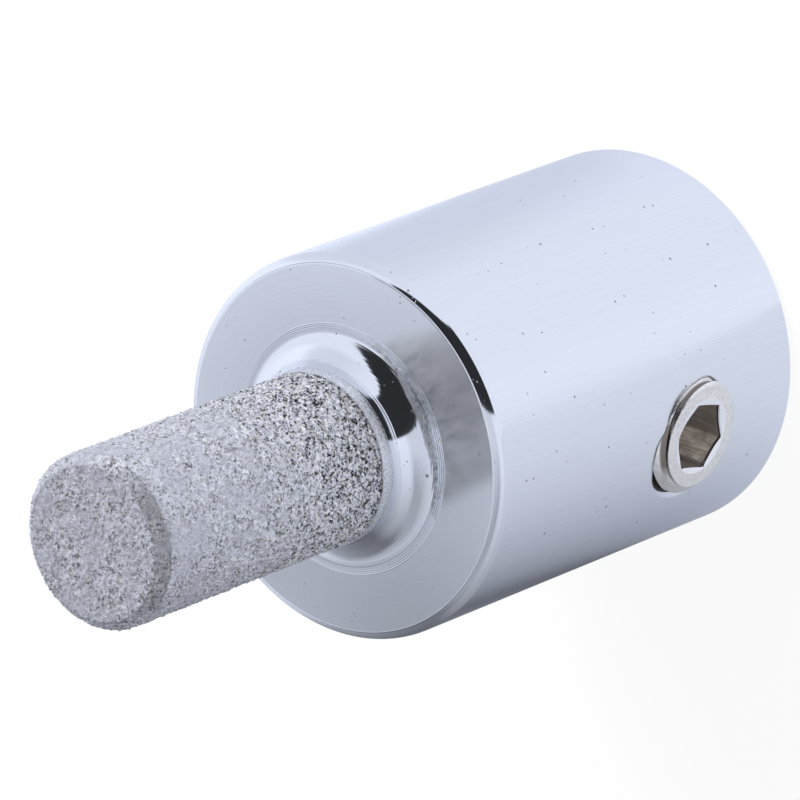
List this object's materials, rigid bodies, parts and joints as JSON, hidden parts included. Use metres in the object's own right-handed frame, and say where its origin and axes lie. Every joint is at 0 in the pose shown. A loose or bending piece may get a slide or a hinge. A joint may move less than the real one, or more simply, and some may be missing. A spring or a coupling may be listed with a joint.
{
  "type": "glass grinder bit",
  "caption": "Round plated bit for a glass grinder: a thin pin covered in diamond grit on a bored body that a socket set screw clamps to the shaft.",
  "frame": {"origin": "centre of the flat back face that the bit stands on, on the bore's axis", "axes": "+Z along the bit's axis towards the tip of the pin, -Y the way the set screw faces"},
  "size_m": [0.015, 0.0152, 0.0332],
  "materials": {
    "bright_plating": "bright plating over fine lengthwise polishing marks",
    "bonded_grit": "silver-grey diamond grit in a metal bond",
    "screw_steel": "warm bright nickel plating"
  },
  "bodies": {
    "core": {"bit_core": "bright_plating", "diamond_coating": "bonded_grit"},
    "screw": {"set_screw": "screw_steel"}
  },
  "joints": [
    {"name": "screw_travel", "type": "slide", "parent": "core", "child": "screw", "axis": [0, -1, 0], "range_m": [-0.0008, 0.0016]}
  ]
}
